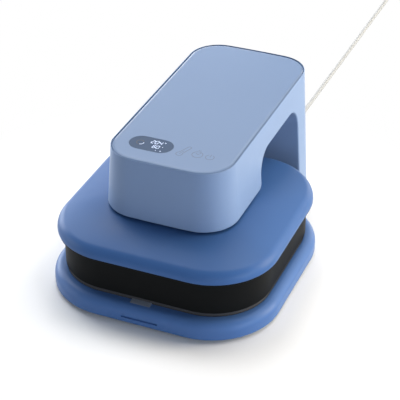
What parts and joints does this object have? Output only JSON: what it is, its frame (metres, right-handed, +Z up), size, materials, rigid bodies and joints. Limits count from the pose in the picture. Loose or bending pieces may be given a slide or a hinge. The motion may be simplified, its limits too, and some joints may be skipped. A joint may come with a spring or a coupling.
{
  "type": "automatic heat press",
  "caption": "Motorised flatbed heat press with a square heated platen, a padded base and a C-shaped arm that tilts up from a hinge at the back.",
  "frame": {"origin": "centre of the machine's footprint, on the table", "axes": "+Z up, -Y towards the user at the machine's front, +X to the user's right"},
  "size_m": [0.43, 1.6497, 0.2778],
  "materials": {
    "base_blue": "moulded, deep blue gloss",
    "arm_blue": "moulded, blue gloss",
    "cover_blue": "moulded, blue gloss",
    "panel_blue": "light blue satin gloss",
    "lens_dark": "smoked, polished",
    "skirt_black": "heat-proof black",
    "inner_plastic": "moulded, satin",
    "mat_cloth": "padded, finely woven",
    "tab_cloth": "woven tape",
    "insulation_wool": "fibre blanket",
    "plate_aluminium": "cast, coated face",
    "sheet_steel": "cut sheet, zinc plated",
    "polished_steel": "ground and polished",
    "bush_brass": "turned",
    "motor_paint": "black paint",
    "gearbox_metal": "die cast",
    "board_green": "solder mask",
    "foot_rubber": "moulded",
    "cord_grey": "light grey sheath"
  },
  "bodies": {
    "base": {"base_shell": "base_blue", "bottom_plate": "sheet_steel", "foot_front_left": "foot_rubber", "foot_front_right": "foot_rubber", "foot_middle_left": "foot_rubber", "foot_middle_right": "foot_rubber", "foot_rear_left": "foot_rubber", "foot_rear_right": "foot_rubber", "press_bed": "sheet_steel", "bed_posts": "sheet_steel", "base_screws": "polished_steel", "pressing_mat": "mat_cloth", "mat_tab": "tab_cloth", "hinge_bracket_left": "sheet_steel", "hinge_bracket_right": "sheet_steel", "hinge_pin_left": "polished_steel", "hinge_pin_right": "polished_steel", "pin_clips": "polished_steel", "sector_gear": "sheet_steel", "strain_relief": "cord_grey", "cord": "cord_grey", "cord_coil": "cord_grey", "cord_tail": "cord_grey", "plug": "cord_grey"},
    "head": {"arm_shell": "arm_blue", "opening_liner": "arm_blue", "top_panel": "panel_blue", "display_lens": "lens_dark", "display_board": "board_green", "touch_board": "board_green", "control_board": "board_green", "power_board": "board_green", "arm_plate_left": "sheet_steel", "arm_plate_right": "sheet_steel", "hinge_bushes": "bush_brass", "frame_spacers": "sheet_steel", "frame_screws": "polished_steel", "head_plate": "sheet_steel", "head_spacers": "polished_steel", "guide_bushes": "bush_brass", "motor_bridge": "sheet_steel", "gearbox": "gearbox_metal", "gear_motor": "motor_paint", "box_cover": "inner_plastic", "column_cover": "inner_plastic"},
    "platen": {"platen_cover": "cover_blue", "heat_skirt": "skirt_black", "carrier_plate": "plate_aluminium", "guide_posts": "polished_steel", "post_collars": "polished_steel", "disc_springs": "sheet_steel", "plate_posts": "polished_steel", "insulation": "insulation_wool", "heater_element": "sheet_steel", "heat_plate": "plate_aluminium", "thermostat": "gearbox_metal"},
    "pinion": {"drive_pinion": "sheet_steel"}
  },
  "joints": [
    {"name": "head_hinge", "type": "hinge", "parent": "base", "child": "head", "pos_m": [0, 0.2341, 0.022], "axis": [-1, 0, 0], "range_deg": [0, 30]},
    {"name": "platen_float", "type": "slide", "parent": "head", "child": "platen", "axis": [0, 0, 1], "range_m": [0, 0.003], "stiffness_N_per_m": 15000, "springref_m": -0.004},
    {"name": "drive_pinion_spin", "type": "hinge", "parent": "head", "child": "pinion", "pos_m": [-0.056, 0.2341, 0.085], "axis": [-1, 0, 0], "range_deg": [0, 106]}
  ],
  "couplings": [
    {"joint": "drive_pinion_spin", "follows": "head_hinge", "ratio": 3.5}
  ]
}
